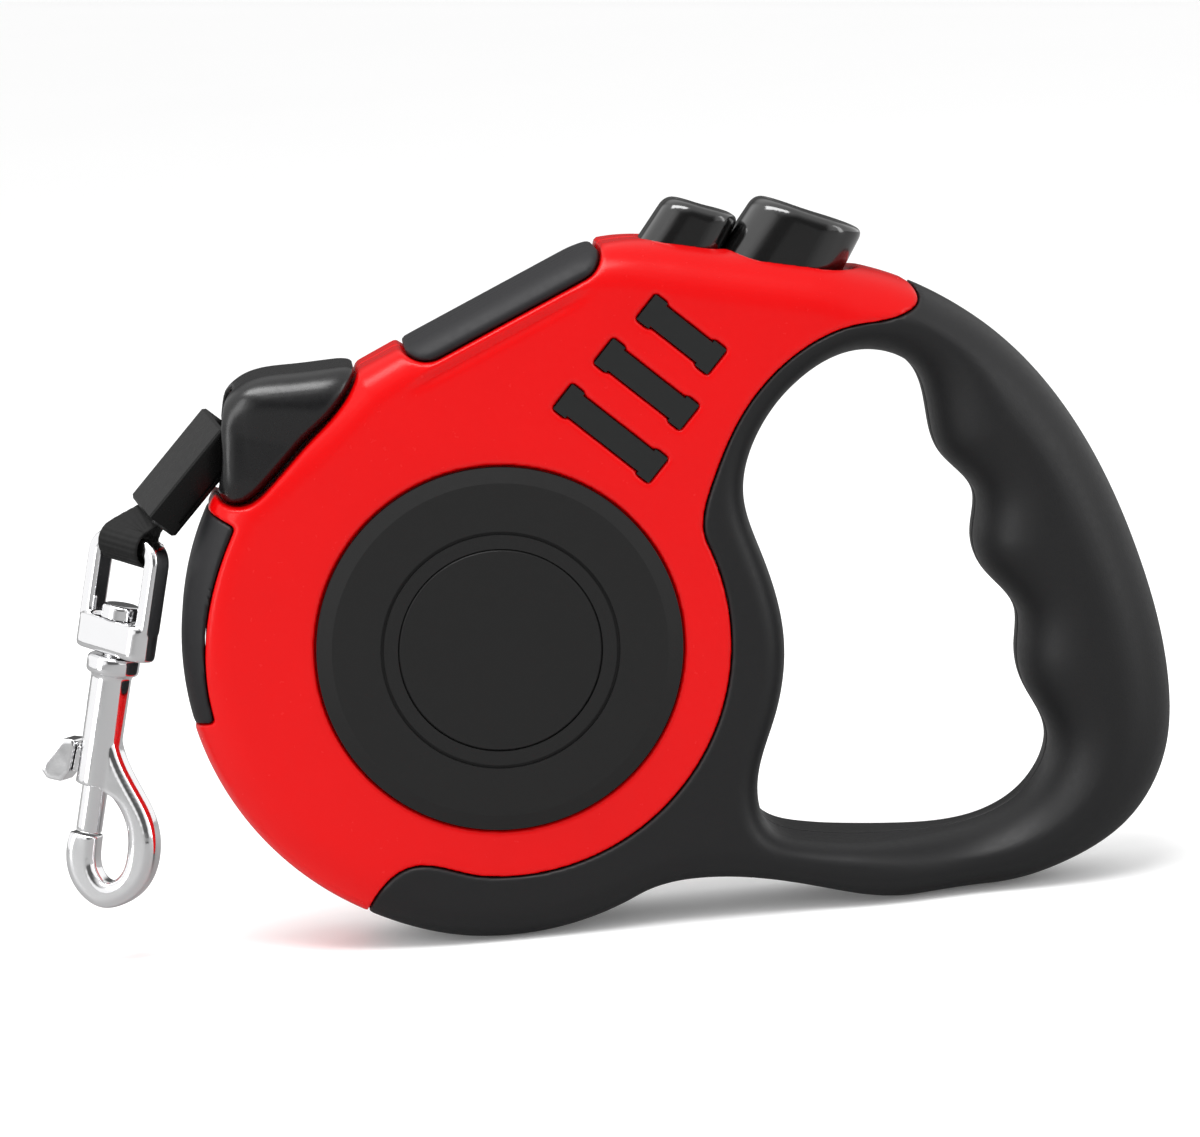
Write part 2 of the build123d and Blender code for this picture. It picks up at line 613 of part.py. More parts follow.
def tape_sleeve(frame):
    body = Pos(0, 0, SLEEVE_LENGTH / 2) * Box(SLEEVE_WIDTH, SLEEVE_THICK, SLEEVE_LENGTH)
    body = fillet(body.edges().filter_by(Axis.Z), 0.7)
    body = chamfer(body.faces().sort_by(Axis.Z)[0].edges(), 0.5)
    body = chamfer(body.faces().sort_by(Axis.Z)[-1].edges(), 0.5)
    pocket = Box(TAPE_WIDTH + 4 * SEAT, 3 * TAPE_THICK + 2 * SEAT, NECK_POCKET)
    body -= Pos(0, 0, NECK_POCKET / 2) * pocket
    groove = Box(0.8, 0.6, SLEEVE_LENGTH - 3.4)
    for side in (-1, 1):
        body -= Pos(side * SLEEVE_WIDTH / 2, 1.9, SLEEVE_LENGTH / 2 + 0.9) * groove
    return frame.location * body


# ---------------------------------------------------------------- swivel bolt snap, hanging frame
# z up along the hook from the middle of the eye's bar, x across the eye or the hook.
BAR_POINT = (-61.6, 0.0, 73.3)
EYE_BAR = 3.4                # height of the bar
EYE_DEPTH = 4.2
EYE_INSIDE = TAPE_WIDTH + 1.4
EYE_LEG = 3.0
EYE_DROP = 13.3              # bar middle to the base's top
BASE_HEIGHT = 6.2
BASE_DEPTH = 6.4
PIVOT_RADIUS = 2.0
PIVOT_HEAD = 3.3
COLLAR_RADIUS = 4.6
COLLAR_HEIGHT = 3.2
BODY_RADIUS = 3.55
BODY_LENGTH = 19.8
HOOK_THICK = 5.2
BOLT_RADIUS = 2.3
TIP_LEVEL = -51.6            # top of the hook's tip
KNOB_HALF = 2.6              # half the thumb knob's thickness

snap = Pos(*BAR_POINT) * Rot(0, HOOK_LEAN, 0)
eye_frame = snap * Rot(0, 0, -EYE_TURN)
hook_frame = snap * Rot(0, 0, -HOOK_TURN)
base_top = -EYE_DROP
base_low = base_top - BASE_HEIGHT
collar_top = base_low - PLAY
collar_low = collar_top - COLLAR_HEIGHT
body_low = collar_low - BODY_LENGTH
bore_top = collar_low - 3.0
bolt_top = bore_top - BOLT_TRAVEL - 3.5
knob_low = -43.2


def rod(radius, z_from, z_to):
    return Pos(0, 0, (z_from + z_to) / 2) * Cylinder(radius, z_to - z_from)


def swivel_eye():
    wide = EYE_INSIDE + 2 * EYE_LEG
    top = EYE_BAR / 2
    height = top - base_top + 1
    frame = Pos(0, 0, top - height / 2) * Box(wide, EYE_DEPTH, height)
    frame = fillet(frame.edges().filter_by(Axis.Y).sort_by(Axis.Z)[-2:], 4.4)
    inside_high = -EYE_BAR / 2
    gap = inside_high - base_top
    opening = Pos(0, 0, inside_high - gap / 2) * Box(EYE_INSIDE, 10, gap)
    opening = fillet(opening.edges().filter_by(Axis.Y), 0.8)
    frame -= opening
    frame = fillet(frame.edges().filter_by(lambda e: abs(abs(e.center().Y) - EYE_DEPTH / 2) < 0.01
                                           and e.center().Z > base_top + 0.5), 0.9)
    base = Pos(0, 0, base_top - BASE_HEIGHT / 2) * Box(wide, BASE_DEPTH, BASE_HEIGHT)
    base = fillet(base.edges().filter_by(Axis.Z), BASE_DEPTH / 2 - 0.1)
    base = fillet(base.faces().sort_by(Axis.Z)[0].edges() + base.faces().sort_by(Axis.Z)[-1].edges(), 0.8)
    return eye_frame * (frame + base - rod(PIVOT_RADIUS + RUNNING, base_low - 1, base_top + 1)
                        - rod(PIVOT_HEAD + PLAY, base_top, base_top + 3.6))


def swivel_rivet():
    head_low = base_top + 0.15
    head = rod(PIVOT_HEAD, head_low, head_low + 2.4)
    head = fillet(head.faces().sort_by(Axis.Z)[-1].edges(), 0.8)
    return hook_frame * (head + rod(PIVOT_RADIUS, collar_top - 2.6, head_low))


def hook_arm():
    """The bent arm from the body round to the tip, as a flat outline with soft edges."""
    face = flat(
        Line((0, -34.5), (3.3, -34.5)),
        Spline((3.3, -34.5), (7.4, -41), (11.9, -47), (13.4, -53.2), (12.2, -58.6), (8.8, -62.4), (5, -63.8),
               (0.9, -62.4), (-2.2, -58.8), (-3.2, -54.8), (-2.9, TIP_LEVEL)),
        Line((-2.9, TIP_LEVEL), (2.3, TIP_LEVEL)),
        Spline((2.3, TIP_LEVEL), (2.4, -54.6), (3.3, -57.6), (5.3, -59), (7.3, -57.6), (8.2, -53.6),
               (7.6, -49.4), (5.6, -45.9), (2.6, -43.4)),
        Line((2.6, -43.4), (0, -42.4)),
        Line((0, -42.4), (0, -34.5)),
    )
    arm = prism(face, -HOOK_THICK / 2, HOOK_THICK / 2)
    soft = [e for e in arm.edges() if abs(abs(e.center().Y) - HOOK_THICK / 2) < 0.01
            and e.length > 12]
    return fillet(soft, 1.6)


def hook_body():
    collar = rod(COLLAR_RADIUS, collar_low, collar_top)
    collar = fillet(collar.edges().filter_by(GeomType.CIRCLE), 0.7)
    body = collar + rod(BODY_RADIUS, body_low, collar_low) + hook_arm()
    body -= rod(BOLT_RADIUS + RUNNING, TIP_LEVEL + 0.01, bore_top)
    slot_top = knob_low + 7.6 - 0.5 + BOLT_TRAVEL
    slot_low = knob_low + 1.4
    body -= Pos(-4, 0, (slot_top + slot_low) / 2) * Box(8, 2.6, slot_top - slot_low)
    body -= rod(PIVOT_RADIUS, collar_top - 2.6, collar_top)
    return hook_frame * body


def hook_bolt():
    """The spring bolt that closes the hook, with its thumb knob."""
    pin = rod(BOLT_RADIUS, TIP_LEVEL + PLAY, bolt_top)
    stem_top = knob_low + 6.6
    stem_low = knob_low + 2.0
    stem = Pos(-3.6, 0, (stem_top + stem_low) / 2) * Box(4.0, 2.0, stem_top - stem_low)
    outline = [(-4.0, 7.8), (-6.4, 7.6), (-9.2, 3.0), (-9.4, 1.2), (-8.2, 0.0), (-5.4, 0.0), (-4.3, 2.0)]
    knob = prism(polygon(*[(x, knob_low + z) for x, z in outline]), -KNOB_HALF, KNOB_HALF)
    knob = fillet(knob.edges().filter_by(Axis.Y), 0.5)
    return hook_frame * (pin + stem + knob)


def bolt_spring():
    return hook_frame * Pos(0, 0, bolt_top) * coil(1.6, 0.25, bore_top - bolt_top, 6)


def tape_loop(frame):
    """The end of the tape, sewn round the eye's bar, with its neck in the sleeve."""
    hole = hypot(EYE_BAR / 2 - 0.9, EYE_DEPTH / 2 - 0.9) + 0.9 + PLAY
    outer = hole + 1.1
    band = Rot(0, 90, 0) * (Cylinder(outer, TAPE_WIDTH) - Cylinder(hole, TAPE_WIDTH))
    band = eye_frame * band
    neck_thick = 2 * TAPE_THICK
    neck_wide = TAPE_WIDTH - 2 * PLAY
    upper = frame.location * Rectangle(neck_wide, neck_thick)
    foot = Vector(SLEEVE_FOOT[0], 0, SLEEVE_FOOT[1])
    heading = (foot - Vector(*BAR_POINT)).normalized()
    bar_way = Vector(1, 0, 0).rotate(Axis.Z, -EYE_TURN).rotate(Axis.Y, HOOK_LEAN)
    away = (heading - bar_way * bar_way.dot(heading)).normalized()
    seat = Plane(origin=Vector(*BAR_POINT) + away * (hole + 0.5), x_dir=bar_way, z_dir=away)
    lower = seat.location * Rectangle(neck_wide, neck_thick)
    neck = loft([lower.face(), upper.face()], ruled=True)
    tail = frame.location * Pos(0, 0, NECK_POCKET / 2 - 0.1) * Box(neck_wide, neck_thick, NECK_POCKET - 0.2)
    return band + neck + tail


# ---------------------------------------------------------------- assembly
build_case()
nodes["left_side_cap"] = side_cap()
nodes["right_side_cap"] = mirrored(side_cap())
nodes["left_badge"] = badge()
nodes["right_badge"] = mirrored(badge())
nodes["nozzle"] = nozzle()
nodes["tape_guide_pins"] = guide_pins()
nodes["case_screws"] = Compound([screw(x, z) for x, z in SCREWS])

nodes["drum"] = drum()
nodes["spring_cover"] = spring_cover()
nodes["clock_spring"] = clock_spring()
nodes["tape_pack"] = ring(PACK_RADIUS, HUB_RADIUS, -TAPE_WIDTH / 2, TAPE_WIDTH / 2)
nodes["drum_axle"] = turned(AXLE_RADIUS, -INNER, INNER)
nodes["spring_arbor"] = ring(ARBOR_RADIUS, AXLE_RADIUS, -BOSS_FACE, BOSS_FACE)
washer_gap = 0.15
nodes["thrust_washers"] = Compound([
    ring(BOSS_RADIUS - 1, ARBOR_RADIUS, -BOSS_FACE, -DRUM_FACE - washer_gap),
    ring(BOSS_RADIUS - 1, ARBOR_RADIUS, DRUM_FACE + washer_gap, BOSS_FACE),
])

nodes["brake_button"] = brake_button()
nodes["lock_button"] = lock_button()
nodes["brake_spring"], nodes["lock_spring"] = button_springs()

sleeve = sleeve_plane()
sleeve_top = sleeve.origin + sleeve.z_dir * SLEEVE_LENGTH
nodes["tape_run"] = tape_run((sleeve_top.X, sleeve_top.Z), (sleeve.z_dir.X, sleeve.z_dir.Z))
nodes["tape_sleeve"] = tape_sleeve(sleeve)
nodes["tape_loop"] = tape_loop(sleeve)
nodes["swivel_eye"] = swivel_eye()
nodes["swivel_rivet"] = swivel_rivet()
nodes["hook_body"] = hook_body()
nodes["hook_bolt"] = hook_bolt()
nodes["bolt_spring"] = bolt_spring()

box = Compound([s for n in nodes.values() for s in n.solids()]).bounding_box()
shift = (round(-(box.min.X + box.max.X) / 2, 2), 0, 0)
print("move", shift, "box", box.min, box.max)
for name, shape in nodes.items():
    moved = Pos(*shift) * Compound(solid_list(shape))
    solids = moved.solids()
    export_step(solids[0] if len(solids) == 1 else Compound(solids), f"parts/{name}.step")
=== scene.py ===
import json
import math

import bpy
import numpy as np
from mathutils import Matrix, Vector


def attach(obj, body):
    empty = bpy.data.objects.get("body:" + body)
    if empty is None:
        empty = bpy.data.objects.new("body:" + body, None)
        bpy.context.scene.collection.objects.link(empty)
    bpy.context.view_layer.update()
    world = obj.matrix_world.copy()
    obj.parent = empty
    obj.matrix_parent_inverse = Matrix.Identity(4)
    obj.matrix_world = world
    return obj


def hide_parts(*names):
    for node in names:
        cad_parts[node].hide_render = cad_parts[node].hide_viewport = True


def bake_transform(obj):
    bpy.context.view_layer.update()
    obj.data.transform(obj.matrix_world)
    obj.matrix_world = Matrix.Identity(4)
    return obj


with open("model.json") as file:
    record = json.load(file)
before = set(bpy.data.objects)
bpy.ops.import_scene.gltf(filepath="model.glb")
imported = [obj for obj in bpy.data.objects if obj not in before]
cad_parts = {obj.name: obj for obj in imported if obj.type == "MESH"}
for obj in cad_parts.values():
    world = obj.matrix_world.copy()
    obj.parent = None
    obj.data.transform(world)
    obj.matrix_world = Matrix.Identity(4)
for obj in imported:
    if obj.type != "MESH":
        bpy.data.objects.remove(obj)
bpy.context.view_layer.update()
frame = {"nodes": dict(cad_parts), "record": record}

MM = 0.001

# ------------------------------------------------------------------ camera, as the object is seen
AZIMUTH = math.radians(-3.8)
ELEVATION = math.radians(9.0)
ROLL = math.radians(4.5)
DISTANCE = 0.800
LOOK_AT = Vector((-0.24, -15.5, 64.1)) * MM
LENS = 140.3


def make_camera():
    data = bpy.data.cameras.new("camera")
    data.lens = LENS
    data.sensor_width = 36.0
    data.clip_start = 0.01
    data.clip_end = 60.0
    cam = bpy.data.objects.new("camera", data)
    bpy.context.scene.collection.objects.link(cam)
    bpy.context.scene.camera = cam
    sa, ca = math.sin(AZIMUTH), math.cos(AZIMUTH)
    se, ce = math.sin(ELEVATION), math.cos(ELEVATION)
    back = Vector((sa * ce, -ca * ce, se))
    right = Vector((ca, sa, 0.0))
    up = back.cross(right)
    turned_right = right * math.cos(ROLL) - up * math.sin(ROLL)
    turned_up = right * math.sin(ROLL) + up * math.cos(ROLL)
    place = Matrix((turned_right, turned_up, back)).transposed().to_4x4()
    place.translation = LOOK_AT + back * DISTANCE
    cam.matrix_world = place


# -------------------------------------------------------- outlines, in mm from the foot below the drum
SHIFT = -18.32               # from that foot to the frame's origin, along X
DRUM_HEIGHT = 51.4
HALF = 14.0                  # half the case's thickness
CASE_CENTRE, CASE_RADIUS = (-1.6, 53.0), 53.0
RED_RADIUS = 40.0
STEP = 0.8                   # spacing of the points on an outline


def polar(radius, angle, centre=(0.0, DRUM_HEIGHT)):
    turn = math.radians(angle)
    return (centre[0] + radius * math.cos(turn), centre[1] + radius * math.sin(turn))


def arc(radius, start, end, centre):
    count = max(int(abs(math.radians(end - start)) * radius / STEP), 2)
    return [polar(radius, a, centre) for a in np.linspace(start, end, count)]


def spline(points, start=None, end=None, closed=False):
    """A smooth curve through the points, with even speed and, where given, its end directions."""
    p = np.array(points, float)
    if closed:
        p = np.vstack([p, p[:1]])
    gaps = np.linalg.norm(np.diff(p, axis=0), axis=1)
    n = len(p)
    lhs, rhs = np.zeros((n, n)), np.zeros((n, 2))
    slopes = np.diff(p, axis=0) / gaps[:, None]
    for i in range(1, n - 1):
        lhs[i, i - 1], lhs[i, i + 1] = gaps[i], gaps[i - 1]
        lhs[i, i] = 2 * (gaps[i] + gaps[i - 1])
        rhs[i] = 3 * (gaps[i] * slopes[i - 1] + gaps[i - 1] * slopes[i])
    if closed:
        lhs[0, 0], lhs[0, -1] = 1, -1
        lhs[-1, -2], lhs[-1, 1] = gaps[0], gaps[-1]
        lhs[-1, -1] = 2 * (gaps[0] + gaps[-1])
        rhs[-1] = 3 * (gaps[0] * slopes[-1] + gaps[-1] * slopes[0])
    else:
        for row, way, near in ((0, start, 1), (-1, end, -2)):
            lhs[row, row] = 1
            if way is None:
                lhs[row, near] = 1
                rhs[row] = 2 * slopes[row]
            else:
                rhs[row] = np.array(way) / np.linalg.norm(way)
    speed = np.linalg.solve(lhs, rhs)
    curve = []
    for i, gap in enumerate(gaps):
        count = max(int(gap / STEP), 2)
        t = (np.arange(count) / count)[:, None]
        a, b = p[i], p[i + 1]
        u, v = speed[i] * gap, speed[i + 1] * gap
        curve += list(a * (2 * t**3 - 3 * t**2 + 1) + u * (t**3 - 2 * t**2 + t)
                      + b * (3 * t**2 - 2 * t**3) + v * (t**3 - t**2))
    if not closed:
        curve.append(p[-1])
    return [tuple(q) for q in curve]


def outer_outline():
    foot = polar(CASE_RADIUS, 295, CASE_CENTRE)
    tail = (74.5, 108.3)
    heading = (math.cos(math.radians(25)), math.sin(math.radians(25)))
    outline = arc(CASE_RADIUS, 146, 295, CASE_CENTRE)
    outline += spline([foot, (34, 6.9), (50, 4.1), (70, 0)], heading, (1, 0))
    outline += spline([(83, 0), (97, 2.7), (109, 9.6), (116.3, 22), (117.4, 33), (113.4, 56.5),
                       (104.6, 79), (91, 97.3), tail], (1, 0), (-0.91, 0.41))
    outline += spline([tail, (56, 113.6), (41, 116.9), (29, 119), (17, 117)], (-0.91, 0.41), (-0.91, -0.41))
    return outline + [(-20.5, 100.6)]


def hand_opening():
    return spline([(66, 96.6), (56, 93.2), (48.6, 85.8), (44.3, 73.5), (46.6, 63.5), (49.5, 48), (47, 34.5),
                   (43, 22), (44.6, 15), (52, 11.7), (68, 10.2), (82, 11.5), (90.5, 15.6), (95.6, 25.8),
                   (92.2, 34.3), (91.2, 41), (91.6, 48), (86.3, 55.6), (84.7, 62), (85.5, 69.5),
                   (80.2, 76.6), (78.4, 84), (76.2, 92.4)], closed=True)


def red_zone():
    centre = (0.0, DRUM_HEIGHT)
    low, high = polar(RED_RADIUS, -99), polar(RED_RADIUS, 22)
    far = 300.0
    zone = [(-26.6, -far)]
    zone += spline([(-26.6, 5.0), (-24, 11), (-18.5, 14.6), low], (0.2, 1), (0.98, -0.17))
    zone += arc(RED_RADIUS, -99, 22, centre)
    zone += spline([high, (38.8, 77), (45, 88.5), (54, 97.2), (65, 101.7), (72.5, 102.4), (77, 105),
                    (75.2, 109.2)], (-0.37, 0.93), (-0.45, 1))
    return zone + [(75.2, far), (-far, far), (-far, -far)]


def hood_outline():
    """The hood's free edge, over the top and down the nose, and its lower edge along the red case."""
    top = spline([(-20.3, 101.6), (-31, 101.3), (-40.4, 99.9), (-45.2, 93.5)], (-1, 0.02), (-0.15, -1))
    low = spline([(-45.2, 93.5), (-46.4, 86), (-45.4, 80.6), (-41.5, 79.6), (-37.2, 82.2), (-29.6, 89.6),
                  (-22.6, 96.6), (-20.3, 101.6)], (-0.15, -1), (0.1, 1))
    turn = min(range(len(low)), key=lambda i: abs(low[i][0] + 44.6) + abs(low[i][1] - 80.0))
    return top + low[:turn], low[turn:]


# -------------------------------------------------------- solids as fields of distance, negative inside
CELL = 0.45


def distance_in(outline, x, z):
    """Distance from each point to the outline, positive inside it."""
    points = np.array(outline, np.float32)
    nearest = np.full(x.shape, 1e9, np.float32)
    inside = np.zeros(x.shape, bool)
    for (ax, az), (bx, bz) in zip(points, np.roll(points, -1, axis=0)):
        ex, ez = bx - ax, bz - az
        long = ex * ex + ez * ez
        if long < 1e-9:
            continue
        t = np.clip(((x - ax) * ex + (z - az) * ez) / long, 0, 1)
        nearest = np.minimum(nearest, (x - ax - t * ex) ** 2 + (z - az - t * ez) ** 2)
        if az != bz:
            inside ^= ((az > z) != (bz > z)) & (x < ax + (z - az) * ex / ez)
    return np.where(inside, np.sqrt(nearest), -np.sqrt(nearest))


def soft_max(a, b, blend):
    h = np.maximum(blend - np.abs(a - b), 0) / blend
    return np.maximum(a, b) + h * h * blend / 4


def soft_min(a, b, blend):
    return -soft_max(-a, -b, blend)


def ease(value, low, high):
    t = np.clip((value - low) / (high - low), 0, 1)
    return t * t * (3 - 2 * t)


def rounded_slab(inside, y, half, radius):
    """A slab with rounded rims: inside is the distance from its outline, half its half thickness."""
    u = np.maximum(radius - inside, 0)
    v = np.maximum(np.abs(y) - (half - radius), 0)
    return np.sqrt(u * u + v * v) - radius


def surface(field, corner, name, side=1, cell=CELL):
    """The mesh where the field is zero: one point in each cell that the surface crosses.
    Side -1 mirrors it in the middle plane."""
    inside = field < 0
    count = np.zeros(tuple(n - 1 for n in field.shape), np.int8)
    corners = [(i, j, k) for i in (0, 1) for j in (0, 1) for k in (0, 1)]

    def part(array, at):
        return array[tuple(slice(o, o + n - 1) for o, n in zip(at, array.shape))]

    for at in corners:
        count += part(inside, at)
    cells = np.argwhere((count > 0) & (count < 8))
    total, hits = np.zeros((len(cells), 3)), np.zeros(len(cells))
    for a in corners:
        for axis in range(3):
            if a[axis]:
                continue
            step = np.eye(3, dtype=int)[axis]
            va = field[tuple((cells + a).T)]
            vb = field[tuple((cells + a + step).T)]
            cross = (va < 0) != (vb < 0)
            t = va[cross] / (va[cross] - vb[cross])
            total[cross] += np.array(a) + t[:, None] * step
            hits[cross] += 1
    points = (cells + total / hits[:, None]) * cell + corner
    points[:, 1] *= side
    index = np.full(count.shape, -1, np.int64)
    index[tuple(cells.T)] = np.arange(len(cells))
    faces = []
    for axis in range(3):
        b, c = (axis + 1) % 3, (axis + 2) % 3
        step = np.eye(3, dtype=int)
        low = [slice(1, -1)] * 3
        low[axis] = slice(0, -1)
        high = list(low)
        high[axis] = slice(1, None)
        first, second = inside[tuple(low)], inside[tuple(high)]
        at = np.argwhere(first != second) + (1 - step[axis])
        quad = np.stack([index[tuple((at - p * step[b] - q * step[c]).T)]
                         for p, q in ((0, 0), (1, 0), (1, 1), (0, 1))], axis=1)
        flip = ~inside[tuple(at.T)]
        quad[flip] = quad[flip][:, ::-1]
        faces.append(quad)
    faces = np.vstack(faces)
    faces = faces[(faces >= 0).all(axis=1)][:, ::side]
    points = (points + np.array([SHIFT, 0, 0])) * MM
    mesh = bpy.data.meshes.new(name)
    mesh.vertices.add(len(points))
    mesh.vertices.foreach_set("co", points.ravel())
    mesh.loops.add(faces.size)
    mesh.loops.foreach_set("vertex_index", faces.ravel())
    mesh.polygons.add(len(faces))
    mesh.polygons.foreach_set("loop_start", np.arange(0, faces.size, 4))
    mesh.update(calc_edges=True)
    mesh.shade_smooth()
    made = bpy.data.objects.new(name, mesh)
    bpy.context.scene.collection.objects.link(made)
    return made


# ------------------------------------------------------------------ the case's fields
SEAM = 0.06                  # half the gap where the two case halves meet
GAP = 0.1                    # between the red case and its black trim
EDGE = 0.5                   # rounding of the case's edges at the seam and round its trim
LEAN = math.radians(35.0)    # the buttons lean towards the handle
BAY_FLOOR = 70.2             # from the drum's centre, along the buttons' way
ROOM_RADIUS, ROOM_HALF = 45.5, 11.4      # the hollow for the drum
CAP_RADIUS, CAP_FLOOR = 31.8, 12.7       # the recess for a side cap, its floor from the middle plane
BARS = [((35.2, 102.8), 15.4), ((28.6, 94.8), 18.7), ((21.8, 86.9), 20.8)]    # place and length
BAR_LEAN = math.radians(-42.8)
BAR_HALF, BAR_END_HALF, BAR_END = 2.15, 2.65, 1.3
BAR_FLOOR = 12.6
BUMPER_START, BUMPER_END = math.radians(151.0), math.radians(192.0)
BUMPER_INNER, BUMPER_NARROWING = 47.8, 1.5
REST_FOOT = (5.0, 111.8)     # the middle of the thumb rest, along the case's top
REST_RISE, REST_RUN = 16.4, 37.5         # its slope
HEAD_RADIUS, HEAD_HEIGHT, HEAD_BAY = 2.05, 1.3, 2.3
HEAD_SUNK = 0.2              # how far a screw's head lies under the lowest edge of its recess
LIP_DEPTH, LIP_REACH = 0.9, 0.3          # the left half's lip that closes the seam from inside
SCREWS = [(70.6, 105.8), (3.0, 103.6), (-40.6, 24.2), (92.5, 92.0), (103.6, 47.0), (62.0, 5.5)]


def box_field(u, v, half_u, half_v, corner=0.0):
    """Distance in a plane from a rectangle with rounded corners, negative inside."""
    a, b = np.abs(u) - half_u + corner, np.abs(v) - half_v + corner
    return np.hypot(np.maximum(a, 0), np.maximum(b, 0)) + np.minimum(np.maximum(a, b), 0) - corner


def case_fields(low, high):
    """The grid and the case's shared distances, on points from low to high."""
    axes = [np.arange(a, b, CELL, dtype=np.float32) for a, b in zip(low, high)]
    x, z = np.meshgrid(axes[0], axes[2], indexing="ij")
    flat = {"x": x, "z": z}
    flat["edge"] = distance_in(outer_outline(), x, z)
    flat["hole"] = -distance_in(hand_opening(), x, z)
    flat["red"] = distance_in(red_zone(), x, z)
    flat["hood"] = distance_in(sum(hood_outline(), []), x, z)
    return axes, flat


def along_and_off(x, z, foot, lean):
    """Places along a leaning line through foot, and away from it."""
    along = (x - foot[0]) * math.cos(lean) + (z - foot[1]) * math.sin(lean)
    off = (z - foot[1]) * math.cos(lean) - (x - foot[0]) * math.sin(lean)
    return along, off


def case_body(x, y, z, edge, hole):
    """The whole case and handle before it is cut up: a slab whose rims are rounder at the handle,
    under the thumb and at the nose, with a shallow ridge beside the thumb rest."""
    handle = ease(x, 58.0, 84.0)
    saddle = ease(x, 16.0, 34.0) * (1 - ease(x, 66.0, 80.0)) * ease(z, 92.0, 100.0)
    nose_side = 1 - ease(x, -30.0, -8.0)
    rim = 6.0 + 6.0 * handle + 3.0 * saddle + 2.6 * nose_side
    hole_rim = 4.6 + 7.4 * handle
    inside = soft_min(edge, hole * (rim / hole_rim), 4.0)
    body = rounded_slab(inside, y, HALF, rim)
    along_strip = ease(x, -13.0, -7.0) * (1 - ease(x, 15.0, 22.0)) * ease(z, 90.0, 95.0)
    groove = 0.5 * np.exp(-((edge - 6.6) / 0.75) ** 2)
    ridge = 0.2 * np.exp(-((edge - 5.0) / 0.6) ** 2)
    return body + along_strip * (groove - ridge)


def bumper_zone(x, z):
    """The front bumper's band round the drum, which narrows downwards, positive inside."""
    around = np.arctan2(z - CASE_CENTRE[1], x - CASE_CENTRE[0]) % (2 * np.pi)
    out = np.hypot(x - CASE_CENTRE[0], z - CASE_CENTRE[1])
    narrowing = BUMPER_NARROWING * ease(around, BUMPER_START, BUMPER_END)
    ends = np.minimum(around - BUMPER_START, BUMPER_END - around) * out
    return soft_min(out - BUMPER_INNER - narrowing, ends, 1.0)


def rest_zone(x, z):
    """The thumb rest's strip along the top, positive inside."""
    along, off = along_and_off(x, z, REST_FOOT, math.atan2(REST_RISE, REST_RUN))
    return -box_field(along, off - 5.0, 19.3, 9.4, 5.2)


def cut_bars(shell, x, y, z):
    """Cuts the recesses of the three inlaid bars, which are wider at both ends."""
    for foot, length in BARS:
        u, v = along_and_off(x, z, foot, BAR_LEAN)
        end = box_field(np.abs(u) - length / 2 + BAR_END, v, BAR_END, BAR_END_HALF, 0.4)
        bar = np.minimum(box_field(u, v, length / 2, BAR_HALF), end)
        shell = soft_max(shell, -np.maximum(bar - 0.2, BAR_FLOOR - np.abs(y)), 0.6)
    return shell


def button_bay(x, y, z):
    """The open bay under both buttons, negative inside."""
    across = x * math.cos(LEAN) - (z - DRUM_HEIGHT) * math.sin(LEAN)
    up = x * math.sin(LEAN) + (z - DRUM_HEIGHT) * math.cos(LEAN)
    brake = box_field(across - 10.3, y, 10.8, 8.5, 6.7)
    lock = box_field(across + 6.8, y, 6.5, 6.5, 3.8)
    between = box_field(across - 1.35, y, 4.0, 4.5)
    return np.maximum(np.minimum(np.minimum(brake, lock), between), BAY_FLOOR - up)


def screw_bays(body, x, y, z):
    """The screws' recesses, negative inside, and their heads, each as deep as the case is low there."""
    holes = np.full_like(body, 1e3)
    reach = np.max(np.where(body < 0, np.abs(y), 0), axis=1, keepdims=True)
    heads = []
    for screw_x, screw_z in SCREWS:
        away = np.hypot(x - screw_x, z - screw_z)
        top = float(reach[away < HEAD_BAY].min()) - HEAD_SUNK
        holes = np.minimum(holes, np.maximum(away - HEAD_BAY, top - HEAD_HEIGHT - np.abs(y)))
        heads.append(screw_head(screw_x, screw_z, top))
    return holes, heads


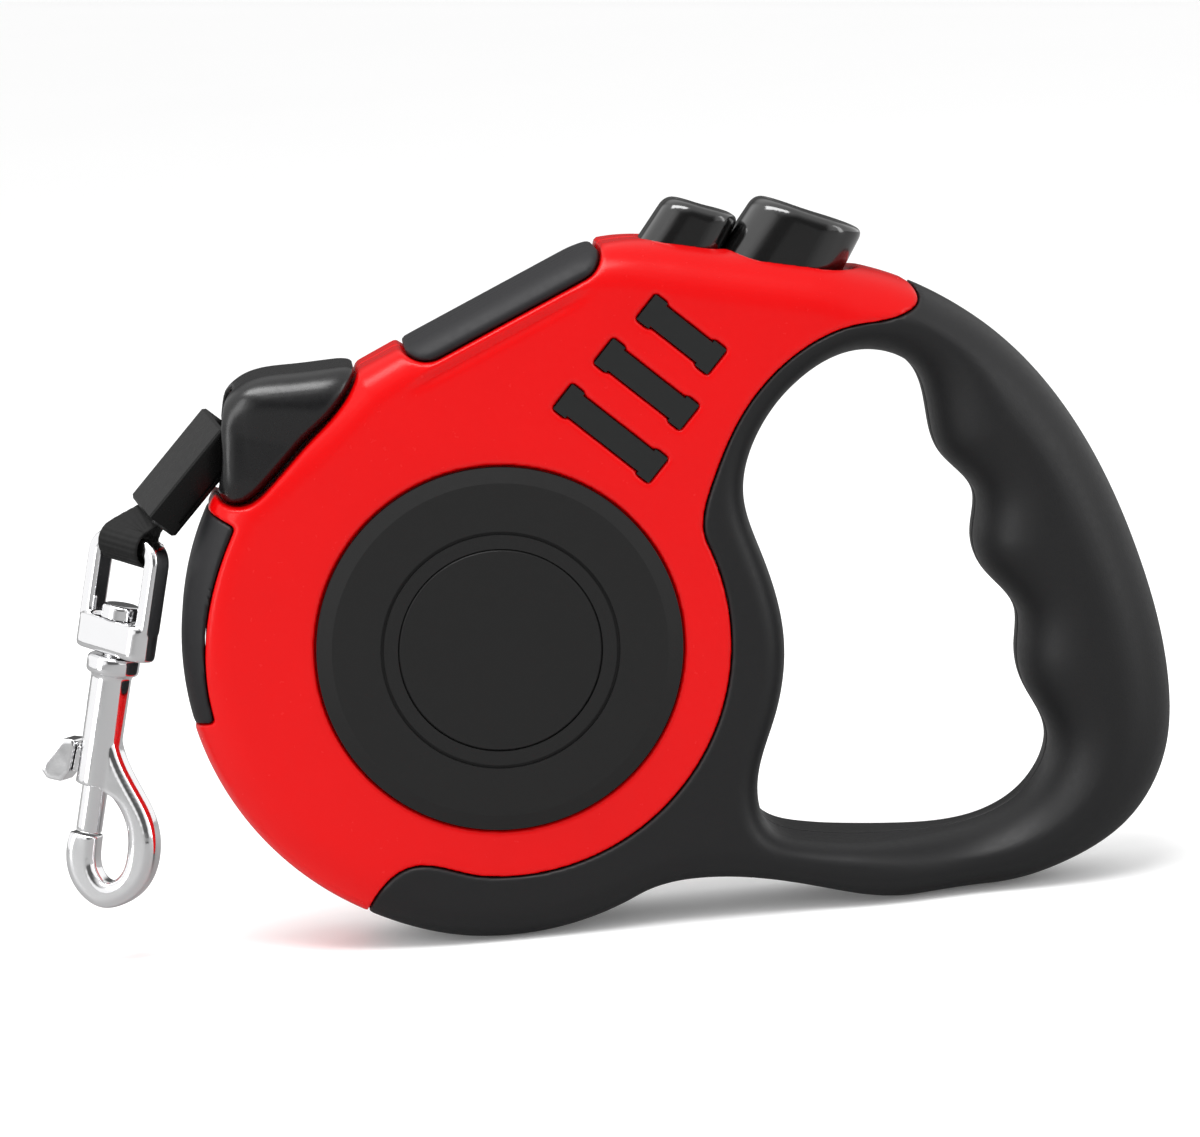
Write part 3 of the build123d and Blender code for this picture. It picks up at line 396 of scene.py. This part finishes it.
def case_solids():
    """The red case and the black grip as two halves each, with their bumper, thumb rest and screw heads."""
    axes, flat = case_fields((-56.2, -15.8, -1.4), (119.0, 0.9, 120.4))
    x, z = flat["x"][:, None, :], flat["z"][:, None, :]
    y = axes[1][None, :, None]
    corner = np.array([a[0] for a in axes])
    edge, hole, red = (flat[k][:, None, :] for k in ("edge", "hole", "red"))

    body = case_body(x, y, z, edge, hole)
    drum = np.hypot(x, z - DRUM_HEIGHT)
    room = np.maximum(drum - ROOM_RADIUS, np.abs(y) - ROOM_HALF)
    halves = np.maximum(soft_max(body, y + SEAM, EDGE), -room)
    bumper, strip, bay = bumper_zone(x, z), rest_zone(x, z), button_bay(x, y, z)

    shell = soft_max(halves, GAP - red, EDGE)
    for trim, space in ((bumper, 0.12), (strip, 0.12), (flat["hood"][:, None, :], 0.25)):
        shell = soft_max(shell, trim + space, 0.7)
    shell = soft_max(shell, -np.maximum(drum - CAP_RADIUS, CAP_FLOOR - np.abs(y)), EDGE)
    shell = cut_bars(shell, x, y, z)
    shell = soft_max(shell, -bay, 1.2)
    grip = soft_max(soft_max(halves, red + GAP, EDGE), -bay, EDGE)

    holes, heads = screw_bays(body, x, y, z)
    made = {"case_screws": one_mesh(heads, "screw_heads")}
    forms = {
        "front_bumper": soft_max(np.maximum(soft_max(body + 0.15, 0.02 - bumper, EDGE), -room), y, 0.01),
        "thumb_rest": soft_max(soft_max(body + 0.25, 0.05 - strip, 1.6), y, 0.01),
    }
    for name, field in forms.items():
        made[name] = both_sides(surface(field, corner, f"{name}_form"))
    near_seam = int(np.argmin(np.abs(axes[1] + LIP_DEPTH)))
    for word, field in (("shell", shell), ("grip", grip)):
        lip = np.maximum(field[:, near_seam:near_seam + 1, :] + LIP_DEPTH, np.abs(y) - LIP_REACH)
        made[f"left_{word}"] = surface(np.minimum(field, lip), corner, f"left_{word}_form")
        made[f"right_{word}"] = surface(soft_max(field, -holes, EDGE), corner, f"right_{word}_form", -1)
    return made


def screw_head(screw_x, screw_z, top):
    """A low domed head with a cross recess, its face `top` mm out from the middle plane."""
    cell = 0.16
    axes = [np.arange(screw_x - 2.8, screw_x + 2.8, cell),
            np.arange(-top - 0.8, 0.6 - top + HEAD_HEIGHT, cell),
            np.arange(screw_z - 2.8, screw_z + 2.8, cell)]
    x, y, z = np.meshgrid(*axes, indexing="ij")
    away = np.hypot(x - screw_x, z - screw_z)
    dome = -y - top + 0.06 * away ** 2
    head = soft_max(soft_max(away - HEAD_RADIUS, dome, 0.4), y + top - HEAD_HEIGHT, 0.1)
    cross = np.minimum(box_field(x - screw_x, z - screw_z, 1.25, 0.3),
                       box_field(x - screw_x, z - screw_z, 0.3, 1.25))
    head = soft_max(head, -np.maximum(cross, y + top - 0.8), 0.15)
    return surface(head, np.array([a[0] for a in axes]), "screw_head", -1, cell)


def one_mesh(pieces, name):
    bpy.ops.object.select_all(action="DESELECT")
    for piece in pieces:
        piece.select_set(True)
    bpy.context.view_layer.objects.active = pieces[0]
    bpy.ops.object.join()
    pieces[0].name = name
    return pieces[0]


def both_sides(form):
    """Mirrors a form that was made up to the middle plane, and joins the two."""
    mirror = form.modifiers.new("mirror", "MIRROR")
    mirror.use_axis = (False, True, False)
    mirror.use_clip = True
    mirror.merge_threshold = 0.0003
    bpy.context.view_layer.objects.active = form
    bpy.ops.object.modifier_apply(modifier="mirror")
    return form


def nozzle_solid():
    """The soft hood round the tape's mouth."""
    low, high = (-47.8, -14.6, 78.0), (-19.0, 14.6, 103.4)
    axes = [np.arange(a, b, CELL * 0.8, dtype=np.float32) for a, b in zip(low, high)]
    x, z = np.meshgrid(axes[0], axes[2], indexing="ij")
    free, seated = hood_outline()
    far = 160.0
    free = distance_in(free + [(-44.6, 0.0), (far, 0.0), (far, 101.6)], x, z)[:, None, :]
    seated = distance_in(seated + [(-20.3, far), (-far, far), (-far, 80.0)], x, z)[:, None, :]
    x, z, y = x[:, None, :], z[:, None, :], axes[1][None, :, None]
    broad, tight = 7.0, 2.0
    waist = 2.2 * ease(97.0 - z - 0.3 * (x + 33), 0.0, 8.0) * ease(x, -45.5, -40.0)
    form = rounded_slab(soft_min(free, seated * (broad / tight), 2.0), y, 13.6 - waist, broad)
    form = soft_max(form, box_field(x + 33.2, y, 14.4, 13.9, 9.0), 4.2)
    mouth = np.maximum(box_field(y, z - 90.3, 8.4, 8.1, 4.6), x + 38.4)
    form = soft_max(form, -mouth, 1.0)
    bite = (np.hypot((x + 49.2) / 4.6, (z - 89.4) / 9.0) - 1) * 4.6
    form = soft_max(form, -bite, 0.9)
    passage = box_field(y, z - 92.5, 5.6, 4.1, 1.0) + 0 * x
    form = soft_max(form, -passage, 0.5)
    return surface(form, np.array([a[0] for a in axes]), "nozzle_form", cell=CELL * 0.8)


def button_solid(name, centre, half_length, half_width, top_low, top_high, foot, corner_round, dish):
    """A button's head: upright sides that widen to the foot, a sloping dished top and soft edges."""
    cell = 0.32
    reach = half_length + 3.0
    axes = [np.arange(centre - reach, centre + reach, cell),
            np.arange(-half_width - 3, half_width + 3, cell),
            np.arange(foot - 1.0, top_high + 3.0, cell)]
    u, y, w = np.meshgrid(*axes, indexing="ij")
    slope = math.atan2(top_high - top_low, 2 * half_length)
    middle = (top_low + top_high) / 2
    above = (w - middle) * math.cos(slope) - (u - centre) * math.sin(slope)
    flare = 0.05 * np.clip(middle - w, 0, 20)
    sides = box_field(u - centre, y, half_length + flare, half_width + flare, corner_round)
    hollow = 0.9 * np.exp(-(((u - centre) / (half_length * 0.6)) ** 2 + (y / (half_width * 0.6)) ** 2))
    form = soft_max(sides, above + dish * hollow, 2.2)
    form = soft_max(form, foot - w, 0.3)
    made = surface(form, np.array([a[0] for a in axes]), name, cell=cell)
    turn = Matrix.Rotation(LEAN, 4, "Y")
    made.data.transform(Matrix.Translation((SHIFT * MM, 0, DRUM_HEIGHT * MM)) @ turn
                        @ Matrix.Translation((-SHIFT * MM, 0, 0)))
    return made


# ------------------------------------------------------------------ webbing
TAPE_WIDTH = 9.5
TAPE_THICK = 0.8
RIB = 0.95                   # pitch of the weave's cross ribs
SLEEVE_DROP, SLEEVE_TWIST = math.radians(46.0), math.radians(21.0)
SLEEVE_FOOT = np.array([-57.5, 0.0, 77.6])
BAR = np.array([-61.6, 0.0, 73.3])
BAR_WAY = np.array([0.6876, -0.7071, -0.1651])
SLEEVE_LENGTH = 20.1
PIN_LEVEL, PIN_RADIUS = 90.0, 2.4        # the lower guide pin that the tape runs over


def unit(v):
    v = np.array(v, float)
    return v / np.linalg.norm(v)


def ribbon(name, line, across, width, thick, ribs):
    """A woven band along a line of points, with its width direction at each point."""
    line, across = np.array(line), np.array([unit(a) for a in across])
    along = np.gradient(line, axis=0)
    along /= np.linalg.norm(along, axis=1)[:, None]
    across -= along * (across * along).sum(1)[:, None]
    across /= np.linalg.norm(across, axis=1)[:, None]
    normal = np.cross(along, across)
    run = np.concatenate([[0], np.cumsum(np.linalg.norm(np.diff(line, axis=0), axis=1))])
    columns = 33
    share = np.linspace(-1, 1, columns)
    edge = np.clip((1 - np.abs(share)) * width / 2 / 0.35, 0, 1) ** 0.5
    warp = 0.5 + 0.5 * np.cos(share * math.pi * 8)
    weft = 0.5 + 0.5 * np.cos(2 * math.pi * run / RIB)
    relief = ribs * (0.75 * weft[:, None] + 0.25 * warp[None, :] * (1 - weft[:, None]))
    half = (thick / 2 - ribs + relief) * (0.35 + 0.65 * edge)[None, :]
    sheets = []
    for side in (1, -1):
        sheets.append(line[:, None] + across[:, None] * (share * width / 2)[None, :, None]
                      + side * normal[:, None] * half[:, :, None])
    rows = len(line)
    points = np.concatenate([sheets[0], sheets[1][:, ::-1]], axis=1)
    around = points.shape[1]
    faces = []
    for i in range(rows - 1):
        for j in range(around):
            k = (j + 1) % around
            faces.append((i * around + j, (i + 1) * around + j, (i + 1) * around + k, i * around + k))
    faces.append(tuple(range(around)))
    faces.append(tuple(reversed(range((rows - 1) * around, rows * around))))
    mesh = bpy.data.meshes.new(name)
    mesh.from_pydata((points.reshape(-1, 3) + np.array([SHIFT, 0, 0])) * MM, [], faces)
    mesh.validate()
    mesh.shade_smooth()
    made = bpy.data.objects.new(name, mesh)
    bpy.context.scene.collection.objects.link(made)
    return made


def loop_webbing():
    """The end of the tape: out of the sleeve, round the eye's bar and back in."""
    along = np.array([math.cos(SLEEVE_DROP), 0, math.sin(SLEEVE_DROP)])
    wide = np.array([math.sin(SLEEVE_DROP) * math.sin(SLEEVE_TWIST), -math.cos(SLEEVE_TWIST),
                     -math.cos(SLEEVE_DROP) * math.sin(SLEEVE_TWIST)])
    through = np.cross(along, wide)
    heading = unit(SLEEVE_FOOT - BAR)
    rise = unit(heading - BAR_WAY * heading.dot(BAR_WAY))
    side = np.cross(rise, BAR_WAY)
    reach = 2.75 + TAPE_THICK / 2
    open_by = math.radians(52.0)
    layer = TAPE_THICK / 2 + 0.06
    turns = np.linspace(open_by, 2 * math.pi - open_by, 90)
    if through.dot(side) < 0:
        through = -through

    def neck(turn, offset):
        start = BAR + reach * (math.cos(turn) * rise + math.sin(turn) * side)
        speed = np.array(-math.sin(turn) * rise + math.cos(turn) * side) * (1 if turn > math.pi else -1)
        end = SLEEVE_FOOT + through * offset + along * 1.6
        points = []
        for t in np.linspace(0, 1, 26)[1:]:
            gap = np.linalg.norm(end - start)
            p = (start * (2 * t**3 - 3 * t**2 + 1) + speed * gap * 0.9 * (t**3 - 2 * t**2 + t)
                 + end * (3 * t**2 - 2 * t**3) + along * gap * 0.9 * (t**3 - t**2))
            points.append((p, BAR_WAY * (1 - t) + wide * t))
        return points

    round_bar = [(BAR + reach * (math.cos(turn) * rise + math.sin(turn) * side), BAR_WAY) for turn in turns]
    points = neck(open_by, layer)[::-1] + round_bar + neck(2 * math.pi - open_by, -layer)
    line, across = [p for p, _ in points], [w for _, w in points]
    return ribbon("loop_webbing", line, across, TAPE_WIDTH, TAPE_THICK, 0.16)


def run_webbing():
    """The flat tape from inside the hood to the sleeve."""
    level = PIN_LEVEL + PIN_RADIUS + TAPE_THICK / 2 + 0.1
    along = np.array([math.cos(SLEEVE_DROP), 0, math.sin(SLEEVE_DROP)])
    top = SLEEVE_FOOT + along * SLEEVE_LENGTH
    bend = np.array([top[0] + (level - top[2]) * along[0] / along[2], 0, level])
    route = [np.array([-14.0, 0, level]), np.array([-35.0, 0, level]), bend, top]
    line = []
    for a, b in zip(route, route[1:]):
        count = max(int(np.linalg.norm(b - a) / 0.4), 3)
        line += [a + (b - a) * i / count for i in range(count)]
    line.append(top)
    return ribbon("run_webbing", line, [(0, 1, 0)] * len(line), TAPE_WIDTH, TAPE_THICK, 0.0)


# ------------------------------------------------------------------ node materials
class Nodes:
    """A small helper that builds one material's node tree."""

    def __init__(self, name):
        self.material = bpy.data.materials.new(name)
        self.material.use_nodes = True
        self.tree = self.material.node_tree
        self.shader = next(n for n in self.tree.nodes if n.type == "BSDF_PRINCIPLED")
        self.coords = self.tree.nodes.new("ShaderNodeTexCoord")

    def set(self, **values):
        for key, value in values.items():
            self.shader.inputs[key.replace("_", " ")].default_value = value
        return self

    def link(self, source, target):
        self.tree.links.new(source, target)

    def noise(self, scale, detail=3.0, roughness=0.5):
        node = self.tree.nodes.new("ShaderNodeTexNoise")
        node.inputs["Scale"].default_value = scale
        node.inputs["Detail"].default_value = detail
        node.inputs["Roughness"].default_value = roughness
        self.link(self.coords.outputs["Object"], node.inputs["Vector"])
        return node.outputs["Fac"]

    def ramp(self, source, low, high, from_low=0.0, from_high=1.0):
        node = self.tree.nodes.new("ShaderNodeMapRange")
        node.inputs["From Min"].default_value = from_low
        node.inputs["From Max"].default_value = from_high
        node.inputs["To Min"].default_value = low
        node.inputs["To Max"].default_value = high
        self.link(source, node.inputs["Value"])
        return node.outputs["Result"]

    def bump(self, height, strength, distance, below=None):
        node = self.tree.nodes.new("ShaderNodeBump")
        node.inputs["Strength"].default_value = strength
        node.inputs["Distance"].default_value = distance
        self.link(height, node.inputs["Height"])
        if below is not None:
            self.link(below, node.inputs["Normal"])
        return node.outputs["Normal"]

    def tint(self, source, dark, light):
        node = self.tree.nodes.new("ShaderNodeMix")
        node.data_type = "RGBA"
        node.inputs["A"].default_value = (*dark, 1.0)
        node.inputs["B"].default_value = (*light, 1.0)
        self.link(source, node.inputs["Factor"])
        return node.outputs["Result"]


def shade(value):
    """The linear value of a display value."""
    return value / 12.92 if value <= 0.04045 else ((value + 0.055) / 1.055) ** 2.4


def display(r, g, b):
    return (shade(r / 255), shade(g / 255), shade(b / 255))


def moulded(name, colour, rough, grain=0.0, grain_size=0.0004, waver=0.04, coat=0.0, shine=0.3):
    """A moulded plastic: slight colour change, uneven gloss and, where it has one, a fine grain."""
    m = Nodes(name)
    broad = m.noise(60.0, 3.0)
    dark = tuple(c * 0.93 for c in colour)
    m.link(m.tint(broad, dark, colour), m.shader.inputs["Base Color"])
    fine = m.noise(900.0, 4.0)
    m.link(m.ramp(fine, rough - waver, rough + waver, 0.2, 0.8), m.shader.inputs["Roughness"])
    below = m.bump(m.noise(120.0, 1.0), 0.03, 0.0002)
    if grain:
        below = m.bump(m.noise(1.0 / grain_size, 3.0, 0.6), grain, 0.00006, below)
    m.link(below, m.shader.inputs["Normal"])
    m.set(Coat_Weight=coat, Coat_Roughness=0.12, Specular_IOR_Level=shine)
    return m.material


def metal(name, colour, rough, scratch=0.02):
    m = Nodes(name)
    m.set(Metallic=1.0, Base_Color=(*colour, 1.0))
    smear = m.noise(260.0, 4.0)
    m.link(m.ramp(smear, rough * 0.6, rough * 1.6, 0.3, 0.7), m.shader.inputs["Roughness"])
    m.link(m.bump(m.noise(420.0, 3.0), scratch, 0.0001), m.shader.inputs["Normal"])
    return m.material


def make_materials():
    return {
        "red_plastic": moulded("red_satin", display(190, 1, 3), 0.26, 0.0, 0.0005, 0.02, 0.0, 0.2),
        "grip_plastic": moulded("grip_black", display(23, 23, 24), 0.46, 0.35, 0.00035, 0.05),
        "rest_plastic": moulded("rest_black", display(26, 26, 28), 0.55, 0.1, 0.0004),
        "bumper_rubber": moulded("bumper_black", display(20, 20, 22), 0.5, 0.2, 0.0004),
        "nozzle_plastic": moulded("nozzle_black", display(16, 16, 17), 0.28, shine=0.5),
        "cap_plastic": moulded("cap_black", display(22, 22, 22), 0.5, 0.25, 0.0003),
        "badge_plastic": moulded("badge_black", display(22, 22, 22), 0.45, 0.2, 0.0003),
        "inlay_plastic": moulded("inlay_slate", display(25, 26, 26), 0.5, 0.2, 0.0003),
        "button_plastic": moulded("button_black", display(10, 10, 10), 0.16, waver=0.02, coat=1.0, shine=0.5),
        "sleeve_plastic": moulded("sleeve_black", display(12, 12, 12), 0.28, shine=0.16),
        "reel_plastic": moulded("reel_grey", display(190, 190, 186), 0.4),
        "webbing": moulded("webbing_plain", display(10, 10, 10), 0.7, 0.5, 0.0004),
        "spring_steel": metal("spring_steel", (0.55, 0.55, 0.55), 0.25),
        "pin_steel": metal("pin_steel", (0.6, 0.6, 0.6), 0.25),
        "snap_chrome": metal("snap_chrome", (0.9, 0.9, 0.91), 0.09, 0.0),
    }


def paint(obj, material):
    obj.data.materials.clear()
    obj.data.materials.append(material)
    for polygon in obj.data.polygons:
        polygon.material_index = 0


# ------------------------------------------------------------------ floor and light
def for_reflections(tree, seen, reflected):
    """Mixes two colours or outputs: the first for what is seen, the second in reflections."""
    path = tree.nodes.new("ShaderNodeLightPath")
    mix = tree.nodes.new("ShaderNodeMix")
    mix.data_type = "RGBA"
    tree.links.new(path.outputs["Is Glossy Ray"], mix.inputs["Factor"])
    for key, value in (("A", seen), ("B", reflected)):
        if isinstance(value, tuple):
            mix.inputs[key].default_value = (*value, 1.0)
        else:
            tree.links.new(value, mix.inputs[key])
    return mix.outputs["Result"]


def make_stage():
    bpy.ops.mesh.primitive_plane_add(size=60.0, location=(0, 0, -0.0002))
    floor = bpy.context.object
    floor.name = "floor"
    m = Nodes("floor_white")
    m.set(Roughness=0.6, Emission_Color=(1.0, 1.0, 1.0, 1.0), Emission_Strength=0.09)
    pale = m.tint(m.noise(3.0), (0.97, 0.97, 0.97), (0.99, 0.99, 0.99))
    m.link(for_reflections(m.tree, pale, (0.2, 0.2, 0.2)), m.shader.inputs["Base Color"])
    paint(floor, m.material)

    def panel(name, place, aim, size, watts):
        data = bpy.data.lights.new(name, "AREA")
        data.shape = "RECTANGLE"
        data.size, data.size_y = size
        data.energy = watts
        lamp = bpy.data.objects.new(name, data)
        bpy.context.scene.collection.objects.link(lamp)
        lamp.location = place
        way = Vector(aim) - Vector(place)
        lamp.rotation_euler = way.to_track_quat("-Z", "Y").to_euler()

    middle = (0.0, 0.0, 0.06)
    panel("key_top", (-0.2, -0.25, 0.85), middle, (0.8, 0.3), 7.0)
    panel("side_left", (-0.85, -0.45, 0.25), middle, (0.3, 0.9), 3.0)
    panel("side_right", (0.85, -0.45, 0.25), middle, (0.22, 0.9), 2.0)
    world = bpy.data.worlds.new("studio")
    world.use_nodes = True
    tree = world.node_tree
    coords = tree.nodes.new("ShaderNodeTexCoord")
    split = tree.nodes.new("ShaderNodeSeparateXYZ")
    tree.links.new(coords.outputs["Generated"], split.inputs["Vector"])

    def rise(source, start, end, low, high):
        ramp = tree.nodes.new("ShaderNodeMapRange")
        ramp.interpolation_type = "SMOOTHSTEP"
        for key, value in (("From Min", start), ("From Max", end), ("To Min", low), ("To Max", high)):
            ramp.inputs[key].default_value = value
        tree.links.new(source, ramp.inputs["Value"])
        return ramp.outputs["Result"]

    aside = tree.nodes.new("ShaderNodeMath")
    aside.operation = "ABSOLUTE"
    tree.links.new(split.outputs["X"], aside.inputs[0])
    brighter = tree.nodes.new("ShaderNodeMath")
    brighter.operation = "MAXIMUM"
    tree.links.new(rise(aside.outputs[0], 0.3, 0.6, 0.1, 1.05), brighter.inputs[0])
    tree.links.new(rise(split.outputs["Z"], 0.3, 0.8, 0.1, 0.9), brighter.inputs[1])
    sky = for_reflections(tree, (0.98, 0.98, 0.98), brighter.outputs[0])
    tree.links.new(sky, tree.nodes["Background"].inputs["Color"])
    tree.nodes["Background"].inputs["Strength"].default_value = 1.0
    world.cycles.sampling_method = "NONE"
    bpy.context.scene.world = world
    bpy.context.scene.view_settings.view_transform = "Standard"


make_camera()
materials = make_materials()
for part in frame["record"]["subparts"]:
    node = frame["nodes"].get(part["node"])
    if node:
        paint(node, materials[part["material_slot"]])
MATERIAL_OF = {part["node"]: part["material_slot"] for part in frame["record"]["subparts"]}
BODY_OF = {n: b for b, names in frame["record"]["behaviour"]["bodies"].items() for n in names}


def stand_in(obj, node):
    """A modelled piece that is shown in place of a CAD node, on its body and with its material."""
    paint(obj, materials[MATERIAL_OF[node]])
    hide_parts(node)
    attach(obj, BODY_OF[node])


for node_name, form in case_solids().items():
    stand_in(form, node_name)
stand_in(nozzle_solid(), "nozzle")
stand_in(loop_webbing(), "tape_loop")
stand_in(button_solid("brake_form", 9.6, 9.6, 8.0, 89.4, 93.6, 74.3, 7.2, 1.3), "brake_button")
stand_in(button_solid("lock_form", -7.0, 6.3, 6.2, 81.4, 84.7, 69.0, 4.6, 0.9), "lock_button")
tape = run_webbing()
paint(tape, materials["webbing"])
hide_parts("tape_run")
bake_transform(tape)
for node_name, width in (("left_inlays", 0.3), ("right_inlays", 0.3), ("left_side_cap", 0.2),
                         ("right_side_cap", 0.2), ("tape_sleeve", 0.45)):
    soften = frame["nodes"][node_name].modifiers.new("soften", "BEVEL")
    soften.width = width * MM
    soften.segments = 3
    soften.limit_method = "ANGLE"
    soften.angle_limit = math.radians(40)
for node_name in ("swivel_eye", "hook_body", "hook_bolt"):
    skin = frame["nodes"][node_name].modifiers.new("skin", "REMESH")
    skin.mode = "VOXEL"
    skin.voxel_size = 0.22 * MM
    skin.use_smooth_shade = True
    polish = frame["nodes"][node_name].modifiers.new("polish", "SMOOTH")
    polish.factor = 0.5
    polish.iterations = 14
make_stage()
